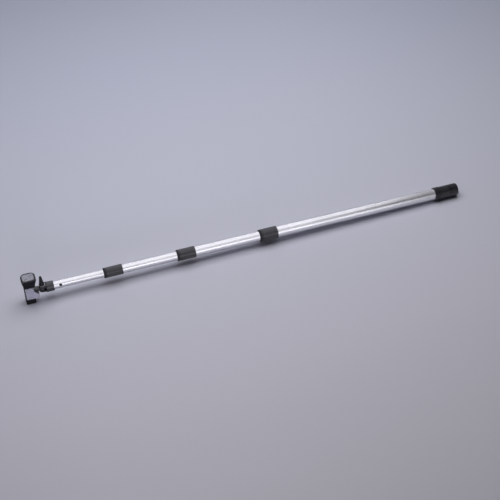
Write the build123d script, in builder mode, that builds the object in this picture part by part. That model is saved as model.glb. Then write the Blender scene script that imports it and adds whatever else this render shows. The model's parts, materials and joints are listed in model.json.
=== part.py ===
"""Pole drywall sander: a four-stage telescopic pole with twist-lock collars and a small tilting head.

Frame: the pole's axis is X, from the centre of the end cap's flat face (X = 0) to the head (+X).
+Z is up as the pole lies on the floor, resting on the head's shoe and on the end cap.
The hinge of the head turns about Z. All sizes are in millimetres.
"""

import os
from math import cos, radians, sin

from build123d import *

os.makedirs("parts", exist_ok=True)

# ---------------------------------------------------------------- driving dimensions
# Tubes: each stage is 3 mm thinner than the one around it.
BASE_D = 28.0
STEP_D = 3.0
WALL = 1.2
STAGES = ["base", "second", "third"]
TUBE_D = {"base": BASE_D, "second": BASE_D - STEP_D, "third": BASE_D - 2 * STEP_D, "tip": BASE_D - 3 * STEP_D}

# Lengths along the pole, as it is set at rest.
CAP_L = 65.0
BASE_VISIBLE = 428.0
SECOND_VISIBLE = 165.0
THIRD_VISIBLE = 135.0
TIP_VISIBLE = 120.0
COLLAR_L = 46.5
INNER_TUBE_L = 530.0
HEAD_REACH = 70.1  # from the socket's rear face to the head's outer face

# Collars and what they hold.
COLLAR_WALL = 1.6  # from the tube's surface to the collar's
FERRULE_WALL = 0.6
FERRULE_L = 24.0  # from the collar's rear to the tube's end
THREAD_PITCH = 2.0
THREAD_DEPTH = 0.3
COLLET_L = 11.0
COLLET_SLITS = 6
RIBS = 28
NOSE_L = 6.0

# Clearances.
RUN = 0.1  # radial, between parts that slide or turn on each other
FREE = 0.3  # between parts that only pass each other

# Head: u is the distance from the head's outer face back towards the pole.
FLOOR_Z = -32.5
SHOE_TOP = -18.0
HOOD_BOTTOM = 20.0
HOOD_TOP = 45.0
HEAD_DEPTH = 24.0
SHOE_W = 23.2
HINGE_U = 43.0
HINGE_Z = 1.6  # the middle of the fork, a little above the pole's axis
SOCKET_D = 24.6
SOCKET_L = 19.5
FORK_H = 19.2
FORK_W = 16.0
TONGUE_H = 6.8
BOLT_R = 3.0
STEM_R = 4.0
BUTTON_SETBACK = 15.5
BUTTON_ANGLE = 30.0  # above the horizontal, on the +Y side

# ---------------------------------------------------------------- worked-out places
collar_x = {"base": CAP_L + BASE_VISIBLE}
collar_x["second"] = collar_x["base"] + COLLAR_L + SECOND_VISIBLE
collar_x["third"] = collar_x["second"] + COLLAR_L + THIRD_VISIBLE
socket_x = collar_x["third"] + COLLAR_L + TIP_VISIBLE
face_x = socket_x + HEAD_REACH
hinge_x = face_x - HINGE_U
inner_of = {"base": "second", "second": "third", "third": "tip"}


def head_x(u):
    """X of a place on the head, u behind its outer face."""
    return face_x - u


def tube_end(stage):
    """X of a tube's head-side end, inside its collar or the socket."""
    return socket_x + SOCKET_L - 4.0 if stage == "tip" else collar_x[stage] + FERRULE_L


def finish(builder, label):
    """Label a finished piece and write it to its own file."""
    builder.part.label = label
    export_step(builder.part, f"parts/{label}.step")


def profile(points):
    """Face with a closed outline of (x, radius) points, to be revolved about the pole's axis."""
    with BuildSketch(Plane.XZ) as face:
        with BuildLine():
            Polyline(*points, close=True)
        make_face()
    return face.sketch


def side_view(points):
    """Face with a closed outline of (u, z) points, on the head's middle plane."""
    return profile([(head_x(u), z) for u, z in points])


# ---------------------------------------------------------------- tubes
TUBE_START = {"base": 10.0}
for stage in ["second", "third", "tip"]:
    TUBE_START[stage] = tube_end(stage) - INNER_TUBE_L

button_dir = Vector(0, cos(radians(BUTTON_ANGLE)), sin(radians(BUTTON_ANGLE)))
button_x = socket_x - BUTTON_SETBACK
button_plane = Plane(origin=(button_x, 0, 0), x_dir=(1, 0, 0), z_dir=button_dir)
BUTTON_R = 3.2
RIVET_R = 2.0
rivet_x = socket_x + 10.0
rivet_plane = Plane(origin=(rivet_x, 0, 0), x_dir=(1, 0, 0), z_dir=(0, 1, 0))

for stage in ["base", "second", "third", "tip"]:
    outer_r = TUBE_D[stage] / 2
    length = tube_end(stage) - TUBE_START[stage]
    with BuildPart() as tube:
        with BuildSketch(Plane.YZ.offset(TUBE_START[stage])):
            Circle(outer_r)
            Circle(outer_r - WALL, mode=Mode.SUBTRACT)
        extrude(amount=length)
        chamfer(tube.edges().filter_by(GeomType.CIRCLE).sort_by(SortBy.RADIUS)[-2:], 0.3)
        if stage == "tip":
            with BuildSketch(button_plane):
                Circle(BUTTON_R + 0.2)
            extrude(amount=outer_r + 1, mode=Mode.SUBTRACT)
            with BuildSketch(rivet_plane):
                Circle(RIVET_R)
            extrude(amount=outer_r + 1, both=True, mode=Mode.SUBTRACT)
    finish(tube, f"{stage}_tube")

# ---------------------------------------------------------------- end cap and plug
CAP_R = 16.0
BEAD_R = 16.9
BEAD_L = 15.0
with BuildPart() as end_cap:
    bore_r = BASE_D / 2
    revolve(profile([(0, 0), (0, CAP_R - 3.0), (0.9, CAP_R - 0.9), (3.0, CAP_R), (CAP_L - BEAD_L, CAP_R),
          (CAP_L - BEAD_L, BEAD_R - 0.9), (CAP_L - BEAD_L + 1.0, BEAD_R), (CAP_L - 1.5, BEAD_R),
          (CAP_L, BEAD_R - 1.2), (CAP_L, bore_r), (TUBE_START["base"], bore_r), (TUBE_START["base"], 0)]),
          axis=Axis.X)
    # Rings pressed into the shoulder, and flutes along the grip.
    for i in range(4):
        x = CAP_L - BEAD_L + 2.6 + 2.8 * i
        revolve(profile([(x, BEAD_R + 0.1), (x + 0.4, BEAD_R - 0.7), (x + 1.0, BEAD_R - 0.7),
                         (x + 1.4, BEAD_R + 0.1)]), axis=Axis.X, mode=Mode.SUBTRACT)
finish(end_cap, "end_cap")

with BuildPart() as end_plug:
    plug_r = BASE_D / 2 - WALL
    revolve(profile([(TUBE_START["base"] + 0.2, 0), (TUBE_START["base"] + 0.2, plug_r), (23, plug_r),
                     (24, plug_r - 0.8),
          (24, plug_r - 2.4), (14, plug_r - 2.4), (14, 0)]), axis=Axis.X)
finish(end_plug, "end_plug")

# ---------------------------------------------------------------- twist locks
for stage in STAGES:
    inner = inner_of[stage]
    tube_r = TUBE_D[stage] / 2
    inner_r = TUBE_D[inner] / 2
    rear = collar_x[stage]
    end = tube_end(stage)
    thread_r = tube_r + FERRULE_WALL
    outer_r = tube_r + COLLAR_WALL
    flange_end = end + 2.0
    collet_end = flange_end + COLLET_L
    nose_x = rear + COLLAR_L - NOSE_L

    with BuildPart() as ferrule:
        outline = [(rear + 2.5, tube_r), (rear + 2.5, thread_r)]
        x = rear + 6.0
        while x + THREAD_PITCH < end - 2.0:
            outline += [(x, thread_r), (x + 0.5, thread_r - THREAD_DEPTH),
                        (x + 1.0, thread_r - THREAD_DEPTH),
                        (x + 1.5, thread_r)]
            x += THREAD_PITCH
        outline += [(flange_end, thread_r), (flange_end, inner_r + FREE), (end, inner_r + FREE),
                    (end, tube_r)]
        revolve(profile(outline), axis=Axis.X)
    finish(ferrule, f"{stage}_ferrule")

    # The collet is slit from its thin end, so that the collar's cone can close it on the inner tube.
    with BuildPart() as collet:
        revolve(profile([(flange_end, inner_r + RUN), (flange_end, thread_r - 0.1),
                         (flange_end + 2.5, thread_r - 0.1),
              (collet_end, inner_r + 0.9), (collet_end, inner_r + RUN)]), axis=Axis.X)
        with BuildSketch(Plane.YZ.offset(collet_end + 1)):
            with PolarLocations(inner_r, COLLET_SLITS):
                Rectangle(8, 0.8)
        extrude(amount=-(COLLET_L - 2.5), mode=Mode.SUBTRACT)
    finish(collet, f"{stage}_collet")

    # The collar's bore clears the thread, closes in a cone over the collet and opens again for its ring.
    cone_start = flange_end + 2.8
    with BuildPart() as collar:
        revolve(profile([(rear, tube_r + FREE), (rear, outer_r - 0.6), (rear + 0.8, outer_r),
                         (nose_x - 1.6, outer_r),
              (nose_x - 1.2, outer_r - 0.5), (nose_x - 0.4, outer_r - 0.5), (nose_x, outer_r - 0.2),
              (nose_x, inner_r + 1.3), (nose_x - 1.5, inner_r + 1.3), (collet_end + 0.4, inner_r + 1.15),
              (cone_start, thread_r + RUN), (rear + 1.6, thread_r + RUN), (rear + 1.6, tube_r + FREE)]),
              axis=Axis.X)
        with BuildSketch(Plane.YZ.offset(rear + 4.0)):
            with PolarLocations(outer_r + 0.35, RIBS):
                Circle(0.75)
        extrude(amount=nose_x - 4.5 - (rear + 4.0), mode=Mode.SUBTRACT)
    finish(collar, f"{stage}_collar")

    with BuildPart() as wiper_ring:
        front = rear + COLLAR_L
        revolve(profile([(nose_x, inner_r + FREE), (nose_x, outer_r - 0.2), (nose_x + 0.5, outer_r),
                         (front - 1.6, outer_r),
              (front - 0.4, outer_r - 0.9), (front, outer_r - 1.6), (front, inner_r + FREE)]), axis=Axis.X)
    finish(wiper_ring, f"{stage}_wiper_ring")

    # Guide bush in the inner tube's tail: it runs in the outer tube and stops against the ferrule's flange.
    with BuildPart() as tail_bush:
        tail = TUBE_START[inner]
        guide_r = tube_r - WALL - RUN
        revolve(profile([(tail - 9, inner_r - 3.0), (tail - 9, guide_r - 0.8), (tail - 8, guide_r),
                         (tail - 1, guide_r),
              (tail, guide_r - 0.6), (tail, inner_r - WALL), (tail + 12, inner_r - WALL),
              (tail + 12, inner_r - 3.0)]), axis=Axis.X)
    finish(tail_bush, f"{inner}_tail_bush")

# ---------------------------------------------------------------- spring button in the tip tube
tip_r = TUBE_D["tip"] / 2
BUTTON_TOP = tip_r + 2.8
FLANGE_TOP = 6.9
with BuildPart() as snap_button:
    with BuildSketch(button_plane.offset(FLANGE_TOP - 1.0)):
        Circle(BUTTON_R + 1.0)
    extrude(amount=1.0)
    with BuildSketch(button_plane.offset(FLANGE_TOP)):
        Circle(BUTTON_R)
    extrude(amount=BUTTON_TOP - FLANGE_TOP)
    fillet(snap_button.faces().sort_by(Axis((0, 0, 0), button_dir))[-1].edges(), 1.9)
finish(snap_button, "snap_button")

# The leaf is a bent strip: one leg lies under the button, the other on the far wall of the tube.
leaf_plane = Plane(origin=(button_x, 0, 0), x_dir=(1, 0, 0), z_dir=-button_dir.cross(Vector(1, 0, 0)))
LEAF_T = 0.5
with BuildPart() as button_spring:
    upper = FLANGE_TOP - 1.0 - LEAF_T / 2
    with BuildSketch(leaf_plane) as leaf_sketch:
        with BuildLine() as leaf_line:
            FilletPolyline((5, upper), (-5, upper), (-30, 0), (-5, -7.2), (5, -7.2), radius=2.5)
        trace(line_width=LEAF_T)
    extrude(amount=3.0, both=True)
finish(button_spring, "button_spring")

# ---------------------------------------------------------------- socket with the hinge fork
with BuildPart() as head_socket:
    socket_r = SOCKET_D / 2
    socket_end = socket_x + SOCKET_L
    with BuildSketch(Plane.XY) as fork_plan:
        with Locations((hinge_x, 0)):
            Circle(FORK_W / 2)
        with Locations(((socket_end - 4 + hinge_x) / 2, 0)):
            Rectangle(hinge_x - socket_end + 4, FORK_W)
    extrude(amount=FORK_H / 2, both=True)
    chamfer(head_socket.faces().filter_by(Axis.Z).edges(), 0.8)
    fork = head_socket.part.moved(Location((0, 0, HINGE_Z)))
    add(fork, mode=Mode.REPLACE)
    revolve(profile([(socket_x, 0), (socket_x, socket_r - 0.8), (socket_x + 0.8, socket_r),
                     (socket_end - 2.5, socket_r), (socket_end, socket_r - 2.0), (socket_end, 0)]),
                     axis=Axis.X)
    # Slot for the tongue, and the bores for the tip tube, the bolt and the rivet.
    with BuildSketch(Plane.XY.offset(HINGE_Z)):
        with Locations((hinge_x, 0)):
            Rectangle(18.5, FORK_W + 10)
    extrude(amount=TONGUE_H / 2 + 0.6, both=True, mode=Mode.SUBTRACT)
    with BuildSketch(Plane.YZ.offset(socket_x)):
        Circle(tip_r)
    extrude(amount=SOCKET_L - 4.0, mode=Mode.SUBTRACT)
    with BuildSketch(Plane.XY.offset(HINGE_Z)):
        with Locations((hinge_x, 0)):
            Circle(BOLT_R + 0.05)
    extrude(amount=FORK_H, both=True, mode=Mode.SUBTRACT)
    with BuildSketch(rivet_plane):
        Circle(RIVET_R)
    extrude(amount=socket_r + 1, both=True, mode=Mode.SUBTRACT)
    # Shallow grip rings round the socket.
    for i in range(3):
        x = socket_x + 3.2 + 1.6 * i
        revolve(profile([(x, socket_r + 0.1), (x, socket_r - 0.4), (x + 0.7, socket_r - 0.4),
                         (x + 0.7, socket_r + 0.1)]), axis=Axis.X, mode=Mode.SUBTRACT)
finish(head_socket, "head_socket")

with BuildPart() as socket_rivet:
    for side in (1, -1):
        with BuildSketch(rivet_plane.offset(side * (socket_r - 0.8))):
            Circle(RIVET_R + 1.2)
        extrude(amount=side * 1.8, taper=30)
    # The heads are hollowed to sit on the round socket.
    revolve(profile([(rivet_x - 6, 0), (rivet_x - 6, socket_r), (rivet_x + 6, socket_r), (rivet_x + 6, 0)]),
            axis=Axis.X, mode=Mode.SUBTRACT)
    with BuildSketch(rivet_plane):
        Circle(RIVET_R)
    extrude(amount=socket_r, both=True)
finish(socket_rivet, "socket_rivet")

# ---------------------------------------------------------------- hinge bolt, washers and knob
EAR_IN = TONGUE_H / 2 + 0.6
EAR_TOP = HINGE_Z + FORK_H / 2
EAR_BOTTOM = HINGE_Z - FORK_H / 2
BOLT_HEAD_H = 2.6
BOLT_TOP = 29.0
TOP_WASHER_T = 1.2
KNOB_TOP = 39.0
with BuildPart() as hinge_bolt:
    with BuildSketch(Plane.XY.offset(EAR_BOTTOM - BOLT_HEAD_H)):
        with Locations((hinge_x, 0)):
            RegularPolygon(radius=5.0, side_count=6)
    extrude(amount=BOLT_HEAD_H)
    chamfer(hinge_bolt.faces().sort_by(Axis.Z)[0].edges(), 0.5)
    with BuildSketch(Plane.XY.offset(EAR_BOTTOM)):
        with Locations((hinge_x, 0)):
            Circle(BOLT_R)
    extrude(amount=BOLT_TOP - EAR_BOTTOM)
    chamfer(hinge_bolt.faces().sort_by(Axis.Z)[-1].edges(), 0.5)
finish(hinge_bolt, "hinge_bolt")

with BuildPart() as hinge_washers:
    for side in (1, -1):
        with BuildSketch(Plane.XY.offset(HINGE_Z + side * EAR_IN)):
            with Locations((hinge_x, 0)):
                Circle(6.5)
                Circle(BOLT_R + 0.1, mode=Mode.SUBTRACT)
        extrude(amount=-side * 0.5)
finish(hinge_washers, "hinge_washers")

with BuildPart() as knob_washer:
    with BuildSketch(Plane.XY.offset(EAR_TOP)):
        with Locations((hinge_x, 0)):
            Circle(FORK_W / 2 - 0.1)
            Circle(BOLT_R + 0.1, mode=Mode.SUBTRACT)
    extrude(amount=TOP_WASHER_T)
    chamfer(knob_washer.faces().sort_by(Axis.Z)[-1].edges().sort_by(SortBy.RADIUS)[-1], 0.4)
finish(knob_washer, "knob_washer")

with BuildPart() as hinge_knob:
    knob_z = EAR_TOP + TOP_WASHER_T + 0.3
    # Tall tapered grip with a rounded tip, a collar at its foot and flutes for the fingers.
    grip = [(0, knob_z), (5.9, knob_z), (6.3, knob_z + 0.6), (6.3, knob_z + 2.6), (5.9, knob_z + 3.2),
            (4.4, knob_z + 13), (3.3, KNOB_TOP - 5), (3.1, KNOB_TOP - 1.5), (2.4, KNOB_TOP - 0.4),
            (1.4, KNOB_TOP), (0, KNOB_TOP)]
    revolve(profile([(hinge_x + r, z) for r, z in grip]), axis=Axis((hinge_x, 0, 0), (0, 0, 1)))
    with BuildSketch(Plane.XY.offset(knob_z + 4.2)):
        with Locations((hinge_x, 0)):
            with PolarLocations(7.4, 6):
                Circle(2.6)
    extrude(amount=KNOB_TOP - knob_z, mode=Mode.SUBTRACT)
    with BuildSketch(Plane.XY.offset(knob_z)):
        with Locations((hinge_x, 0)):
            Circle(4.0)
    extrude(amount=9.0, mode=Mode.SUBTRACT)
    with BuildSketch(Plane.XY.offset(knob_z + 8)):
        with Locations((hinge_x, 0)):
            Circle(BOLT_R + 0.3)
    extrude(amount=BOLT_TOP + 0.6 - knob_z - 8, mode=Mode.SUBTRACT)
finish(hinge_knob, "hinge_knob")

with BuildPart() as knob_insert:
    with BuildSketch(Plane.XY.offset(knob_z)):
        with Locations((hinge_x, 0)):
            Circle(4.0)
            Circle(BOLT_R + RUN, mode=Mode.SUBTRACT)
    extrude(amount=8.8)
finish(knob_insert, "knob_insert")

# ---------------------------------------------------------------- head
POST_U = (7.5, 16.5)
POST_W = 10.0
POST_BOTTOM = SHOE_TOP - 2.0
POST_TOP = 19.2
STEM_TOP = 38.5
post_x = head_x(sum(POST_U) / 2)
HEEL_U = (23.0, 28.0)
HEEL_Z = (-9.0, 11.0)
SCREW_R = 1.5

with BuildPart() as head_core:
    with BuildSketch(Plane.XY.offset(POST_BOTTOM)):
        with Locations((post_x, 0)):
            RectangleRounded(POST_U[1] - POST_U[0], POST_W, 1.0)
    extrude(amount=POST_TOP - POST_BOTTOM)
    with BuildSketch(Plane.XY.offset(POST_TOP)):
        with Locations((post_x, 0)):
            Circle(STEM_R)
    extrude(amount=STEM_TOP - POST_TOP)
    # Lug through the foam's slot, and the heel plate behind the foam.
    extrude(side_view([(POST_U[1] - 1, HINGE_Z - 5), (HEEL_U[0] + 1, HINGE_Z - 5),
                       (HEEL_U[0] + 1, HINGE_Z + 5), (POST_U[1] - 1, HINGE_Z + 5)]), amount=4.0, both=True)
    extrude(side_view([(HEEL_U[0], HEEL_Z[0]), (HEEL_U[1], HEEL_Z[0] + 3), (HEEL_U[1], HEEL_Z[1] - 1),
                       (HEEL_U[0], HEEL_Z[1])]), amount=8.0, both=True)
    rear_edges = head_core.edges().filter_by(Axis.Z).group_by(Axis.X)[0]
    fillet(rear_edges, 1.0)
    # Tongue with its eye.
    with BuildSketch(Plane.XY.offset(HINGE_Z)):
        with Locations((hinge_x, 0)):
            Circle(7.4)
        with Locations(((hinge_x + head_x(HEEL_U[1]) + 1) / 2, 0)):
            Rectangle(head_x(HEEL_U[1]) + 1 - hinge_x, 11.0)
    extrude(amount=TONGUE_H / 2, both=True)
    with BuildSketch(Plane.XY.offset(HINGE_Z)):
        with Locations((hinge_x, 0)):
            Circle(BOLT_R + 0.06)
    extrude(amount=TONGUE_H, both=True, mode=Mode.SUBTRACT)
    # Pilot holes for the stem's screw and the shoe's two screws.
    with BuildSketch(Plane.XY.offset(STEM_TOP)):
        with Locations((post_x, 0)):
            Circle(SCREW_R)
    extrude(amount=-13.0, mode=Mode.SUBTRACT)
    with BuildSketch(Plane.XY.offset(POST_BOTTOM)):
        with Locations((post_x, 2.6), (post_x, -2.6)):
            Circle(SCREW_R)
    extrude(amount=12.0, mode=Mode.SUBTRACT)
finish(head_core, "head_core")

ABRASIVE_T = 2.4
FOAM_U = 22.5
# The foam's nose runs down and back under the hinge, with a cheek on each side of the heel plate.
NOSE = [(FOAM_U, 2.5), (24.5, 2.5), (34.4, -9.8), (26.5, SHOE_TOP + 0.2)]
with BuildPart() as foam_block:
    extrude(side_view([(ABRASIVE_T, SHOE_TOP + 0.2), (ABRASIVE_T, HOOD_BOTTOM - 0.4),
                       (FOAM_U, HOOD_BOTTOM - 0.4)] + NOSE), amount=HEAD_DEPTH / 2, both=True)
    fillet(foam_block.edges().filter_by(Axis.Z), 1.0)
    # Notch for the heel plate, slot for its lug and hole for the post.
    extrude(side_view([(FOAM_U + 0.3, HEEL_Z[0] - 0.6), (40, HEEL_Z[0] - 0.6), (40, 12), (FOAM_U + 0.3, 12)]),
            amount=8.4, both=True, mode=Mode.SUBTRACT)
    extrude(side_view([(POST_U[1] - 1, HINGE_Z - 5.4), (FOAM_U + 1, HINGE_Z - 5.4),
                       (FOAM_U + 1, HINGE_Z + 5.4), (POST_U[1] - 1, HINGE_Z + 5.4)]),
            amount=4.4, both=True, mode=Mode.SUBTRACT)
    with BuildSketch(Plane.XY.offset(SHOE_TOP)):
        with Locations((post_x, 0)):
            Rectangle(POST_U[1] - POST_U[0] + 0.6, POST_W + 0.6)
    extrude(amount=HOOD_BOTTOM - SHOE_TOP, mode=Mode.SUBTRACT)
finish(foam_block, "foam_block")

with BuildPart() as abrasive_sheet:
    extrude(side_view([(0, SHOE_TOP + 0.4), (ABRASIVE_T, SHOE_TOP + 0.4), (ABRASIVE_T, HOOD_BOTTOM - 0.6),
                     (0, HOOD_BOTTOM - 0.6)]), amount=HEAD_DEPTH / 2 - 0.2, both=True)
    fillet(abrasive_sheet.edges().filter_by(Axis.Z).group_by(Axis.X)[-1], 0.8)
finish(abrasive_sheet, "abrasive_sheet")

SHOE_U = SHOE_W / 2
with BuildPart() as base_shoe:
    with BuildSketch(Plane.XY.offset(FLOOR_Z)):
        with Locations((head_x(SHOE_U), 0)):
            RectangleRounded(SHOE_W, HEAD_DEPTH, 2.5)
    extrude(amount=SHOE_TOP - FLOOR_Z)
    chamfer(base_shoe.faces().sort_by(Axis.Z)[0].edges(), 1.0)
    fillet(base_shoe.faces().sort_by(Axis.Z)[-1].edges(), 0.8)
    with BuildSketch(Plane.XY.offset(SHOE_TOP)):
        with Locations((post_x, 0)):
            Rectangle(POST_U[1] - POST_U[0] + 0.4, POST_W + 0.4)
    extrude(amount=-2.0, mode=Mode.SUBTRACT)
    with Locations(Plane.XY.offset(FLOOR_Z).rotated((180, 0, 0))):
        with Locations((post_x, 2.6), (post_x, -2.6)):
            CounterBoreHole(radius=SCREW_R + 0.1, counter_bore_radius=2.4, counter_bore_depth=3.0)
finish(base_shoe, "base_shoe")

with BuildPart() as shoe_screws:
    for y in (2.6, -2.6):
        with BuildSketch(Plane.XY.offset(FLOOR_Z + 0.8)):
            with Locations((post_x, y)):
                Circle(2.3)
        extrude(amount=2.2)
        with BuildSketch(Plane.XY.offset(FLOOR_Z + 3.0)):
            with Locations((post_x, y)):
                Circle(SCREW_R)
        extrude(amount=17.0)
finish(shoe_screws, "shoe_screws")

with BuildPart() as stem_washer:
    with BuildSketch(Plane.XY.offset(STEM_TOP)):
        with Locations((post_x, 0)):
            Circle(6.2)
            Circle(SCREW_R + 0.1, mode=Mode.SUBTRACT)
    extrude(amount=0.8)
finish(stem_washer, "stem_washer")

with BuildPart() as stem_screw:
    with BuildSketch(Plane.XY.offset(STEM_TOP + 0.8)):
        with Locations((post_x, 0)):
            Circle(3.2)
    extrude(amount=2.0)
    with BuildSketch(Plane.XY.offset(STEM_TOP + 2.8)):
        with Locations((post_x, 0)):
            RegularPolygon(radius=1.5, side_count=6)
    extrude(amount=-1.2, mode=Mode.SUBTRACT)
    with BuildSketch(Plane.XY.offset(STEM_TOP + 0.8)):
        with Locations((post_x, 0)):
            Circle(SCREW_R)
    extrude(amount=-13.0)
finish(stem_screw, "stem_screw")

# ---------------------------------------------------------------- hood that slides up the stem
HOOD_FLOOR = HOOD_BOTTOM + 2.0
COVER_T = 3.0
COVER_Z = HOOD_TOP - COVER_T
RIM = 1.2
# Plans of the hood: u range, y range, radius of the two +Y corners and of the two -Y corners.
WAIST = ((2.0, 25.5), (-11.4, 11.2), 1.5, 4.0)
CROWN = ((-2.2, 32.2), (-15.2, 12.0), 2.5, 11.0)


def hood_plan(z, plan, inset=0.0, front_inset=None):
    """Face with the hood's plan at one height, drawn in by inset, or by front_inset on the +Y side."""
    (u_low, u_high), (y_back, y_front), front_r, back_r = plan
    front = inset if front_inset is None else front_inset
    left, right = head_x(u_high - inset), head_x(u_low + inset)
    back_y, front_y = y_back + inset, y_front - front
    with BuildSketch(Plane.XY.offset(z)) as face:
        with BuildLine():
            Polyline((left, back_y), (right, back_y), (right, front_y), (left, front_y), close=True)
        make_face()
        fillet(face.vertices().group_by(Axis.Y)[0], max(back_r - inset, 0.8))
        fillet(face.vertices().group_by(Axis.Y)[-1], max(front_r - inset, 0.8))
    return face.sketch


with BuildPart() as hood_jaw:
    loft([hood_plan(HOOD_BOTTOM, WAIST), hood_plan(COVER_Z - 1, CROWN)])
    extrude(hood_plan(COVER_Z - 1, CROWN), amount=COVER_T + 1)
    fillet(hood_jaw.faces().sort_by(Axis.Z)[-1].edges(), 0.9)
    # Hollow inside, with a ledge for the cover and a bore for the stem.
    loft([hood_plan(HOOD_FLOOR, WAIST, 2.2), hood_plan(COVER_Z - 1, CROWN, 2.6)], mode=Mode.SUBTRACT)
    extrude(hood_plan(COVER_Z - 1, CROWN, 2.6), amount=2, mode=Mode.SUBTRACT)
    extrude(hood_plan(COVER_Z, CROWN, RIM, -5.0), amount=COVER_T + 1, mode=Mode.SUBTRACT)
    with BuildSketch(Plane.XY.offset(HOOD_BOTTOM - 1)):
        with Locations((post_x, 0)):
            Circle(STEM_R + RUN)
    extrude(amount=4, mode=Mode.SUBTRACT)
finish(hood_jaw, "hood_jaw")

# The cover lies inside the rim at the back and sides, and its front edge rolls down over the front wall.
with BuildPart() as hood_cover:
    extrude(hood_plan(COVER_Z, CROWN, RIM + 0.1, 0.0), amount=COVER_T)
    chamfer(hood_cover.faces().sort_by(Axis.Z)[-1].edges(), 0.5)
    front = CROWN[1][1]
    with BuildSketch(Plane.YZ.offset(head_x(CROWN[0][1]) - 1)) as section:
        with Locations((front - 20, COVER_Z + COVER_T / 2)):
            Rectangle(40, COVER_T)
        fillet(section.vertices().sort_by(Axis.Y)[-2:].sort_by(Axis.Z)[-1], COVER_T - 0.2)
    extrude(amount=CROWN[0][1] - CROWN[0][0] + 2, mode=Mode.INTERSECT)
finish(hood_cover, "hood_cover")

SPRING_R = 5.2
SPRING_WIRE = 1.0
SPRING_TURNS = 5
SPRING_L = STEM_TOP - HOOD_FLOOR - SPRING_WIRE - 0.4
with BuildPart() as hood_spring:
    with BuildLine() as coil:
        Helix(pitch=SPRING_L / SPRING_TURNS, height=SPRING_L, radius=SPRING_R,
              center=(post_x, 0, HOOD_FLOOR + (SPRING_WIRE + 0.4) / 2))
    with BuildSketch(Plane(origin=coil.line @ 0, z_dir=coil.line % 0)):
        Circle(SPRING_WIRE / 2)
    sweep()
finish(hood_spring, "hood_spring")
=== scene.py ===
import json
import math

import bmesh
import bpy
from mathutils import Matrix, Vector, noise


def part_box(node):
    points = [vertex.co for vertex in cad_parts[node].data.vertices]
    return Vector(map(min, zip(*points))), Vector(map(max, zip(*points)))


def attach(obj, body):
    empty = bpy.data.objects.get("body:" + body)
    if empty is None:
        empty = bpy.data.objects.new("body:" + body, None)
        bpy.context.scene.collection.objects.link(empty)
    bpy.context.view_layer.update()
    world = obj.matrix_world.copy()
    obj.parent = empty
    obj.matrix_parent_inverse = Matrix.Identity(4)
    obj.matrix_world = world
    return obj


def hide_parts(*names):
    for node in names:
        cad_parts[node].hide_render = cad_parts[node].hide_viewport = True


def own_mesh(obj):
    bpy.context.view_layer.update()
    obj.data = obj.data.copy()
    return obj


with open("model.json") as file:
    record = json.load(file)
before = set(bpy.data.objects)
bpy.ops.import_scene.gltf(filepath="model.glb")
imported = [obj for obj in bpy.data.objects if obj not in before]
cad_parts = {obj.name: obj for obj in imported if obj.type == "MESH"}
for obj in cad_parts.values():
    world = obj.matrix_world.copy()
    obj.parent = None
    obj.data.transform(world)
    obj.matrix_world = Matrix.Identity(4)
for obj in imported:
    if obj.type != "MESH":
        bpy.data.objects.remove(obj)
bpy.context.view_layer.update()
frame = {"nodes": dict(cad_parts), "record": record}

MM = 0.001
nodes_of = frame["nodes"]

# ---------------------------------------------------------------- camera
TARGET = Vector((0.5629, 0.0, -0.04155))
AZIMUTH, ELEVATION, DISTANCE = math.radians(161.31), math.radians(45.688), 2.6204
back = Vector((math.sin(AZIMUTH) * math.cos(ELEVATION),
               -math.cos(AZIMUTH) * math.cos(ELEVATION),
               math.sin(ELEVATION)))
lens = bpy.data.cameras.new("camera")
lens.lens = 75.6
lens.sensor_width = 36
lens.clip_start = 0.05
lens.clip_end = 50
camera = bpy.data.objects.new("camera", lens)
camera.location = TARGET + back * DISTANCE
camera.rotation_mode = "QUATERNION"
camera.rotation_quaternion = (-back).to_track_quat("-Z", "Y")
bpy.context.scene.collection.objects.link(camera)
bpy.context.scene.camera = camera
bpy.context.scene.view_settings.view_transform = "Standard"


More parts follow.
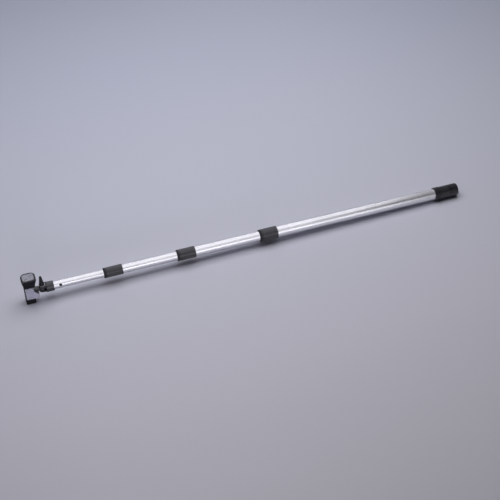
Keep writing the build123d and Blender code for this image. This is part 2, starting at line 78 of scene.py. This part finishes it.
# ---------------------------------------------------------------- material helpers
class Look:
    """A Principled material and short calls that add nodes to it."""

    def __init__(self, name, colour, roughness, metallic=0.0, **inputs):
        self.m = bpy.data.materials.new(name)
        self.m.use_nodes = True
        self.t = self.m.node_tree
        self.bsdf = self.t.nodes["Principled BSDF"]
        self.bsdf.inputs["Base Color"].default_value = (*colour, 1)
        self.bsdf.inputs["Roughness"].default_value = roughness
        self.bsdf.inputs["Metallic"].default_value = metallic
        for key, value in inputs.items():
            self.bsdf.inputs[key.replace("_", " ")].default_value = value
        self.coord = self.t.nodes.new("ShaderNodeTexCoord").outputs["Object"]

    def add(self, kind, **settings):
        node = self.t.nodes.new("ShaderNode" + kind)
        for key, value in settings.items():
            if hasattr(node, key):
                setattr(node, key, value)
            else:
                node.inputs[key.replace("_", " ")].default_value = value
        return node

    def link(self, a, b):
        self.t.links.new(a, b)

    def stretched(self, scale):
        mapping = self.add("Mapping", Scale=scale)
        self.link(self.coord, mapping.inputs["Vector"])
        return mapping.outputs["Vector"]

    def noise(self, scale, detail=4.0, roughness=0.55, stretch=(1, 1, 1)):
        """Noise with this many features a metre, stretched by a scale on each axis."""
        node = self.add("TexNoise", Scale=scale, Detail=detail, Roughness=roughness)
        self.link(self.stretched(stretch), node.inputs["Vector"])
        return node.outputs["Fac"]

    def cells(self, scale, feature="F1", stretch=(1, 1, 1)):
        node = self.add("TexVoronoi", feature=feature, Scale=scale)
        self.link(self.stretched(stretch), node.inputs["Vector"])
        return node.outputs["Distance"]

    def ramp(self, fac, *stops):
        """Colour ramp through (place, colour) stops."""
        node = self.add("ValToRGB")
        while len(node.color_ramp.elements) < len(stops):
            node.color_ramp.elements.new(0.5)
        for element, (place, colour) in zip(node.color_ramp.elements, stops):
            element.position = place
            element.color = (*colour, 1)
        self.link(fac, node.inputs["Fac"])
        return node.outputs["Color"]

    def between(self, fac, low, high, start=0.0, end=1.0):
        """fac from start to end, spread over low to high."""
        node = self.add("MapRange")
        for key, value in (("From Min", start), ("From Max", end), ("To Min", low), ("To Max", high)):
            node.inputs[key].default_value = value
        self.link(fac, node.inputs["Value"])
        return node.outputs["Result"]

    def maths(self, how, a, b):
        node = self.add("Math", operation=how)
        for socket, value in zip(node.inputs, (a, b)):
            if isinstance(value, (int, float)):
                socket.default_value = value
            else:
                self.link(value, socket)
        return node.outputs["Value"]

    def mix(self, fac, a, b):
        """Colour a to colour b by fac; either may be a tuple or a socket."""
        node = self.add("Mix", data_type="RGBA")
        self.link(fac, node.inputs["Factor"])
        for key, value in (("A", a), ("B", b)):
            socket = [s for s in node.inputs if s.name == key and s.type == "RGBA"][0]
            if isinstance(value, tuple):
                socket.default_value = (*value, 1)
            else:
                self.link(value, socket)
        return [s for s in node.outputs if s.type == "RGBA"][0]

    def colour(self, socket):
        self.link(socket, self.bsdf.inputs["Base Color"])

    def rough(self, socket):
        self.link(socket, self.bsdf.inputs["Roughness"])

    def bump(self, *layers):
        """Bump from (height, depth in metres, strength) layers, one on another."""
        last = None
        for height, depth, strength in layers:
            node = self.add("Bump", Strength=strength, Distance=depth)
            self.link(height, node.inputs["Height"])
            if last is not None:
                self.link(last, node.inputs["Normal"])
            last = node.outputs["Normal"]
        self.link(last, self.bsdf.inputs["Normal"])


# ---------------------------------------------------------------- materials
def satin_aluminium():
    """Drawn tube: die lines along the pole, faint smudges and sliding scuffs."""
    k = Look("satin_aluminium", (0.8, 0.8, 0.82), 0.3, 1.0)
    lines = k.noise(1.0, 3.0, 0.6, (6, 2200, 2200))
    smudge = k.noise(24.0, 5.0, 0.6)
    scuff = k.noise(1.0, 2.0, 0.5, (18, 700, 700))
    worn = k.between(scuff, 0.0, 1.0, 0.62, 0.8)
    clean = k.ramp(lines, (0.3, (0.74, 0.745, 0.765)), (0.7, (0.86, 0.865, 0.88)))
    k.colour(k.mix(worn, clean, (0.66, 0.665, 0.69)))
    k.rough(k.maths("ADD", k.between(smudge, 0.24, 0.34, 0.3, 0.7), k.between(lines, -0.03, 0.05, 0.3, 0.7)))
    k.bump((lines, 0.00002, 0.35), (smudge, 0.0003, 0.06))
    return k.m


def moulded(name, base, high, roughness, grain=0.5, **inputs):
    """Black moulded plastic or rubber: fine spark grain, slow tone changes and paler rubbed spots."""
    k = Look(name, base, roughness, 0.0, **inputs)
    grain_fac = k.noise(2600.0, 2.0, 0.6)
    cloud = k.noise(60.0, 4.0, 0.6)
    rubbed = k.between(k.noise(180.0, 6.0, 0.65), 0.0, 1.0, 0.56, 0.78)
    tone = k.ramp(cloud, (0.3, base), (0.75, tuple(b * 1.35 for b in base)))
    k.colour(k.mix(rubbed, tone, high))
    k.rough(k.between(k.maths("ADD", k.maths("MULTIPLY", cloud, 0.7), k.maths("MULTIPLY", grain_fac, 0.3)),
                      roughness - 0.07, roughness + 0.1, 0.3, 0.7))
    k.bump((grain_fac, 0.00006, grain), (cloud, 0.0004, 0.08))
    return k.m


def gloss_cover():
    """Smooth lid in metallic lacquer with hairline scratches; the grey of its centre panel is a painted
    reflection of the overhead light on the black lid.
    """
    k = Look("cover_gloss", (0.3, 0.3, 0.34), 0.3, 0.5, Coat_Weight=0.6, Coat_Roughness=0.15)
    cloud = k.noise(90.0, 4.0, 0.6)
    hair = k.noise(1.0, 2.0, 0.5, (300, 5200, 5200))
    flake = k.noise(3000.0, 2.0, 0.6)
    # Painted reflection: this grey panel colour stands in for the overhead light reflected in the black lid.
    painted_reflection_panel = k.mix(k.between(flake, 0.0, 0.5, 0.45, 0.75),
                  k.ramp(cloud, (0.3, (0.25, 0.25, 0.3)), (0.8, (0.29, 0.29, 0.345))), (0.38, 0.38, 0.43))
    # A black border follows the lid's outline; the grey panel inside it is a painted reflection of the
    # overhead light.
    corners = [Vector(c) for c in nodes_of["hood_cover"].bound_box]
    split = k.add("SeparateXYZ")
    k.link(k.coord, split.inputs["Vector"])
    out = []
    for axis in (0, 1):
        low, high = min(c[axis] for c in corners), max(c[axis] for c in corners)
        off_centre = k.maths("SUBTRACT", split.outputs[axis], (low + high) / 2)
        share = k.maths("DIVIDE", k.maths("ABSOLUTE", off_centre, 0.0), (high - low) / 2)
        out.append(k.maths("POWER", share, 5.0))
    border = k.between(k.maths("ADD", *out), 0.0, 1.0, 0.34, 0.52)
    k.colour(k.mix(border, painted_reflection_panel, (0.012, 0.012, 0.018)))
    k.rough(k.between(cloud, 0.22, 0.36, 0.3, 0.7))
    k.bump((hair, 0.00002, 0.15), (cloud, 0.0006, 0.1))
    return k.m


def bright_metal(name, low, high, roughness):
    """Plated or turned metal with fine marks."""
    k = Look(name, high, roughness, 1.0)
    fine = k.noise(1800.0, 3.0, 0.6)
    cloud = k.noise(160.0, 4.0, 0.6)
    k.colour(k.ramp(cloud, (0.3, low), (0.7, high)))
    k.rough(k.between(cloud, roughness - 0.08, roughness + 0.1, 0.3, 0.7))
    k.bump((fine, 0.00003, 0.3))
    return k.m


def foam_look():
    """Open-cell sanding foam: pale blue-grey and mottled, with painted shade darkening its pores."""
    k = Look("foam", (0.75, 0.74, 0.92), 0.95, 0.0,
             Specular_IOR_Level=0.2, Sheen_Weight=0.3, Sheen_Roughness=0.6)
    pores = k.cells(1150.0)
    small = k.cells(2600.0)
    mottle = k.noise(330.0, 3.0, 0.65)
    body = k.ramp(mottle, (0.36, (0.55, 0.54, 0.7)), (0.62, (0.88, 0.87, 1.0)))
    # Painted shade: the pores are darkened where shade falls inside them.
    hole = k.between(pores, 1.0, 0.0, 0.1, 0.3)
    k.colour(k.mix(hole, body, (0.3, 0.3, 0.38)))
    k.rough(k.between(mottle, 0.9, 1.0, 0.3, 0.7))
    k.bump((pores, 0.0005, 0.6), (small, 0.00025, 0.4))
    return k.m


def grit_look():
    """Coated abrasive: close dark grains whose facets carry painted glints, in a resin bond."""
    k = Look("abrasive", (0.05, 0.05, 0.055), 0.75, 0.0, Specular_IOR_Level=0.5)
    grains = k.cells(3200.0)
    tone = k.noise(2800.0, 2.0, 0.6)
    dust = k.between(k.noise(140.0, 5.0, 0.65), 0.0, 1.0, 0.55, 0.8)
    # Dark grain tone with painted glints as its brightest stop.
    grain_tone_and_glints = k.ramp(tone, (0.42, (0.022, 0.022, 0.026)), (0.6, (0.07, 0.07, 0.078)), (0.72, (0.3, 0.3, 0.32)))
    k.colour(k.mix(dust, grain_tone_and_glints, (0.16, 0.16, 0.165)))
    k.rough(k.between(grains, 0.45, 0.9, 0.1, 0.5))
    k.bump((grains, 0.0003, 0.9), (tone, 0.0001, 0.5))
    return k.m


LACQUER = {"Specular_IOR_Level": 0.6, "Coat_Weight": 0.4, "Coat_Roughness": 0.22}
LOOKS = {
    "satin_aluminium": satin_aluminium(),
    "collar_black": moulded("collar_black", (0.008, 0.008, 0.012), (0.03, 0.03, 0.04), 0.34, 0.5, **LACQUER),
    "rubber_black": moulded("rubber_black", (0.008, 0.008, 0.011), (0.02, 0.02, 0.026), 0.55, 0.3),
    "cap_black": moulded("cap_black", (0.007, 0.007, 0.011), (0.026, 0.026, 0.034), 0.3, 0.35, **LACQUER),
    "fork_black": moulded("fork_black", (0.009, 0.009, 0.013), (0.04, 0.04, 0.05), 0.32, 0.5, **LACQUER),
    "knob_black": moulded("knob_black", (0.007, 0.007, 0.011), (0.03, 0.03, 0.038), 0.36, 0.4),
    "hood_black": moulded("hood_black", (0.005, 0.005, 0.009), (0.02, 0.02, 0.028), 0.5, 0.45,
                          Specular_IOR_Level=0.22),
    "shoe_black": moulded("shoe_black", (0.006, 0.006, 0.009), (0.022, 0.022, 0.028), 0.55, 0.6,
                          Specular_IOR_Level=0.25),
    "nylon": moulded("nylon", (0.09, 0.09, 0.1), (0.16, 0.16, 0.17), 0.45, 0.3),
    "cover_gloss": gloss_cover(),
    "steel": bright_metal("steel", (0.5, 0.5, 0.51), (0.62, 0.62, 0.63), 0.3),
    "spring_steel": bright_metal("spring_steel", (0.36, 0.36, 0.37), (0.5, 0.5, 0.51), 0.34),
    "brass": bright_metal("brass", (0.6, 0.42, 0.17), (0.72, 0.53, 0.24), 0.28),
    "foam": foam_look(),
    "abrasive": grit_look(),
}
for row in frame["record"]["subparts"]:
    look = LOOKS[row["material_slot"]]
    for place in nodes_of[row["node"]].material_slots:
        place.material = look


# ---------------------------------------------------------------- foam block
def keep(name, mesh, look, body):
    piece = bpy.data.objects.new(name, mesh)
    bpy.context.scene.collection.objects.link(piece)
    mesh.materials.clear()
    mesh.materials.append(LOOKS[look])
    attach(piece, body)
    return piece


def prism(outline, half, name):
    """Closed mesh of an (x, z) outline, from y = -half to +half."""
    bm = bmesh.new()
    face = bm.faces.new([bm.verts.new((x, -half, z)) for x, z in outline])
    moved = bmesh.ops.extrude_face_region(bm, geom=[face])["geom"]
    far_side = [g for g in moved if isinstance(g, bmesh.types.BMVert)]
    bmesh.ops.translate(bm, verts=far_side, vec=(0, 2 * half, 0))
    bmesh.ops.recalc_face_normals(bm, faces=bm.faces)
    mesh = bpy.data.meshes.new(name)
    bm.to_mesh(mesh)
    bm.free()
    thing = bpy.data.objects.new(name, mesh)
    bpy.context.scene.collection.objects.link(thing)
    return thing


def applied(thing):
    """The object's mesh with its modifiers applied."""
    graph = bpy.context.evaluated_depsgraph_get()
    return bpy.data.meshes.new_from_object(thing.evaluated_get(graph))


def drop(*things):
    for thing in things:
        bpy.data.objects.remove(thing)


foam_lo, foam_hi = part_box("foam_block")
sheet_lo, sheet_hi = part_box("abrasive_sheet")


def behind(u):
    """X of a place u millimetres behind the head's outer face."""
    return sheet_hi.x - u * MM


def box_outline(u_low, u_high, z_low, z_high):
    return [(behind(u_high), z_low * MM), (behind(u_low), z_low * MM),
            (behind(u_low), z_high * MM), (behind(u_high), z_high * MM)]


NOSE_TIP = foam_lo.x
outline = [(foam_hi.x, foam_lo.z), (behind(26.5), foam_lo.z),
           (NOSE_TIP + 0.6 * MM, -10.6 * MM), (NOSE_TIP, -9.8 * MM),
           (behind(24.5), 2.5 * MM), (behind(22.5), 2.5 * MM),
           (behind(22.5), foam_hi.z), (foam_hi.x, foam_hi.z)]
block = prism(outline, foam_hi.y, "foam_blank")
round_off = block.modifiers.new("round", "BEVEL")
round_off.width, round_off.segments, round_off.angle_limit = 1.2 * MM, 3, math.radians(25)
holes = [prism(box_outline(7.2, 16.8, -30, 30), 5.3 * MM, "post_hole"),
         prism(box_outline(15.5, 23.5, -3.8, 7.0), 4.4 * MM, "lug_hole"),
         prism(box_outline(22.8, 45, -9.6, 14), 8.4 * MM, "heel_notch")]
for hole in holes:
    cut = block.modifiers.new(hole.name, "BOOLEAN")
    cut.operation, cut.object, cut.solver = "DIFFERENCE", hole, "EXACT"
remesh = block.modifiers.new("even", "REMESH")
remesh.mode, remesh.voxel_size = "VOXEL", 0.55 * MM
foam_mesh = applied(block)
drop(block, *holes)
# The foam swells a little between the jaw and the shoe, and its cut faces are uneven.
SWELL, SIDE_FROM = 0.35 * MM, 7 * MM
middle_z, half_z = (foam_hi.z + foam_lo.z) / 2, (foam_hi.z - foam_lo.z) / 2
for v in foam_mesh.vertices:
    swell = max(0.0, 1 - ((v.co.z - middle_z) / half_z) ** 2)
    if abs(v.co.y) > SIDE_FROM:
        v.co.y += math.copysign(SWELL * swell * min(1.0, abs(v.co.y) / foam_hi.y), v.co.y)
    push = 0.22 * noise.noise(v.co * 300) + 0.12 * noise.noise(v.co * 900)
    v.co += v.normal * push * MM
for polygon in foam_mesh.polygons:
    polygon.use_smooth = True
foam = keep("foam_pad", foam_mesh, "foam", "head")
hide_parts("foam_block")

# ---------------------------------------------------------------- abrasive sheet
bm = bmesh.new()
ACROSS, UP, RADIUS = 60, 104, 1.6 * MM
half_y, half_h = sheet_hi.y, (sheet_hi.z - sheet_lo.z) / 2
centre_z = (sheet_hi.z + sheet_lo.z) / 2


def sheet_point(i, j):
    """A point of the sheet's plan, with its four corners rounded."""
    y, z = (2 * i / ACROSS - 1) * half_y, (2 * j / UP - 1) * half_h
    over_y, over_z = abs(y) - (half_y - RADIUS), abs(z) - (half_h - RADIUS)
    if over_y > 0 and over_z > 0:
        far = math.hypot(over_y, over_z)
        shrink = max(over_y, over_z) / far
        y = math.copysign(half_y - RADIUS + over_y * shrink, y)
        z = math.copysign(half_h - RADIUS + over_z * shrink, z)
    return y, z


grid = [[bm.verts.new((0, *sheet_point(i, j))) for j in range(UP + 1)] for i in range(ACROSS + 1)]
for i in range(ACROSS):
    for j in range(UP):
        bm.faces.new((grid[i][j], grid[i + 1][j], grid[i + 1][j + 1], grid[i][j + 1]))
walls = bmesh.ops.extrude_face_region(bm, geom=bm.faces[:])["geom"]
bmesh.ops.translate(bm, verts=[g for g in walls if isinstance(g, bmesh.types.BMVert)],
                    vec=(sheet_hi.x - sheet_lo.x, 0, 0))
bmesh.ops.recalc_face_normals(bm, faces=bm.faces)
for v in bm.verts:
    outer = v.co.x > 0.0005
    v.co += Vector((sheet_lo.x, 0, centre_z))
    if outer:
        edge = max(abs(v.co.y) / half_y, abs(v.co.z - centre_z) / half_h)
        v.co.x -= 0.25 * MM + 0.4 * MM * max(0.0, edge - 0.93) / 0.07
        v.co.x += 0.16 * MM * noise.noise(v.co * 1500)
sheet_mesh = bpy.data.meshes.new("abrasive_face")
bm.to_mesh(sheet_mesh)
bm.free()
for polygon in sheet_mesh.polygons:
    polygon.use_smooth = True
abrasive = keep("abrasive_face", sheet_mesh, "abrasive", "head")
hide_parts("abrasive_sheet")


# ---------------------------------------------------------------- springs
def live_spring(node, body):
    """A copy of the spring's own shape in spring steel, attached to the body in place of the part."""
    source = nodes_of[node]
    mesh = source.data.copy()
    mesh.transform(source.matrix_world)
    spring = keep(node + "_live", mesh, "spring_steel", body)
    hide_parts(node)
    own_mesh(spring)


live_spring("hood_spring", "head")
live_spring("button_spring", "tip_section")

# ---------------------------------------------------------------- floor
FLOOR_AT = Vector((0.064, 0, -0.0171))
FLOOR_SLOPE = math.radians(0.863)  # the head's end of the floor is the lower
floor_look = Look("floor", (0.6, 0.59, 0.68), 0.6, 0.0, Specular_IOR_Level=0.3)
cloud = floor_look.noise(1.2, 2.0, 0.5)
along = floor_look.add("SeparateXYZ")
floor_look.link(floor_look.coord, along.inputs["Vector"])
# Bluer away from the front of the stage, warmer towards it.
far_to_near = floor_look.between(along.outputs["Y"], 0.0, 1.0, -0.85, 0.75)
sheet_tone = floor_look.mix(far_to_near, (0.545, 0.575, 0.72), (0.62, 0.6, 0.675))
patches = floor_look.between(cloud, 0.0, 0.12, 0.3, 0.7)
floor_look.colour(floor_look.mix(patches, sheet_tone, (0.66, 0.645, 0.72)))
floor_look.bump((floor_look.noise(900.0, 2.0, 0.5), 0.00005, 0.15))
bm = bmesh.new()
bmesh.ops.create_grid(bm, x_segments=8, y_segments=8, size=6)
floor_mesh = bpy.data.meshes.new("floor")
bm.to_mesh(floor_mesh)
bm.free()
floor_mesh.materials.append(floor_look.m)
floor = bpy.data.objects.new("floor", floor_mesh)
floor.location = FLOOR_AT
floor.rotation_euler = (0, FLOOR_SLOPE, 0)
bpy.context.scene.collection.objects.link(floor)


# ---------------------------------------------------------------- light
POLE_MIDDLE = Vector((0.55, 0, 0))
HEAD_AT = Vector((1.11, 0, 0))


def softbox(name, at, size, power, lights, colour=(0.95, 0.935, 1)):
    """Soft panel aimed at the pole's middle; it lights matt surfaces or shows in shiny ones."""
    light = bpy.data.lights.new(name, "AREA")
    light.shape = "RECTANGLE"
    light.size, light.size_y = size
    light.energy = power
    light.color = colour
    thing = bpy.data.objects.new(name, light)
    thing.location = at
    thing.rotation_mode = "QUATERNION"
    thing.rotation_quaternion = (POLE_MIDDLE - Vector(at)).to_track_quat("-Z", "Y")
    thing.visible_diffuse = lights != "shine"
    thing.visible_glossy = lights != "matt"
    bpy.context.scene.collection.objects.link(thing)
    return thing


softbox("key", (0.55, -0.42, 1.7), (2.2, 1.6), 30, "matt", (1, 1, 1))
softbox("key_shine", (0.55, -0.4, 1.62), (2.1, 1.52), 13, "shine")
softbox("back_shine", (0.55, -2.2, 1.3), (3.0, 1.2), 20, "shine")
softbox("top_shine", (0.75, 0.9, 1.9), (2.6, 1.0), 8, "shine")
softbox("front_shine", (0.55, 2.4, 1.3), (3.0, 0.9), 14.6, "shine")
fill = softbox("head_fill", (1.25, 2.3, 0.55), (0.9, 0.4), 0.55, "matt")
fill.rotation_quaternion = (HEAD_AT - fill.location).to_track_quat("-Z", "Y")
fill.data.spread = math.radians(40)
softbox("low_shine", (0.6, 2.2, 0.35), (2.6, 0.5), 8.8, "shine")
world = bpy.data.worlds.new("world")
world.use_nodes = True
world.node_tree.nodes["Background"].inputs["Color"].default_value = (0.8, 0.84, 1.0, 1)
world.node_tree.nodes["Background"].inputs["Strength"].default_value = 0.012
bpy.context.scene.world = world
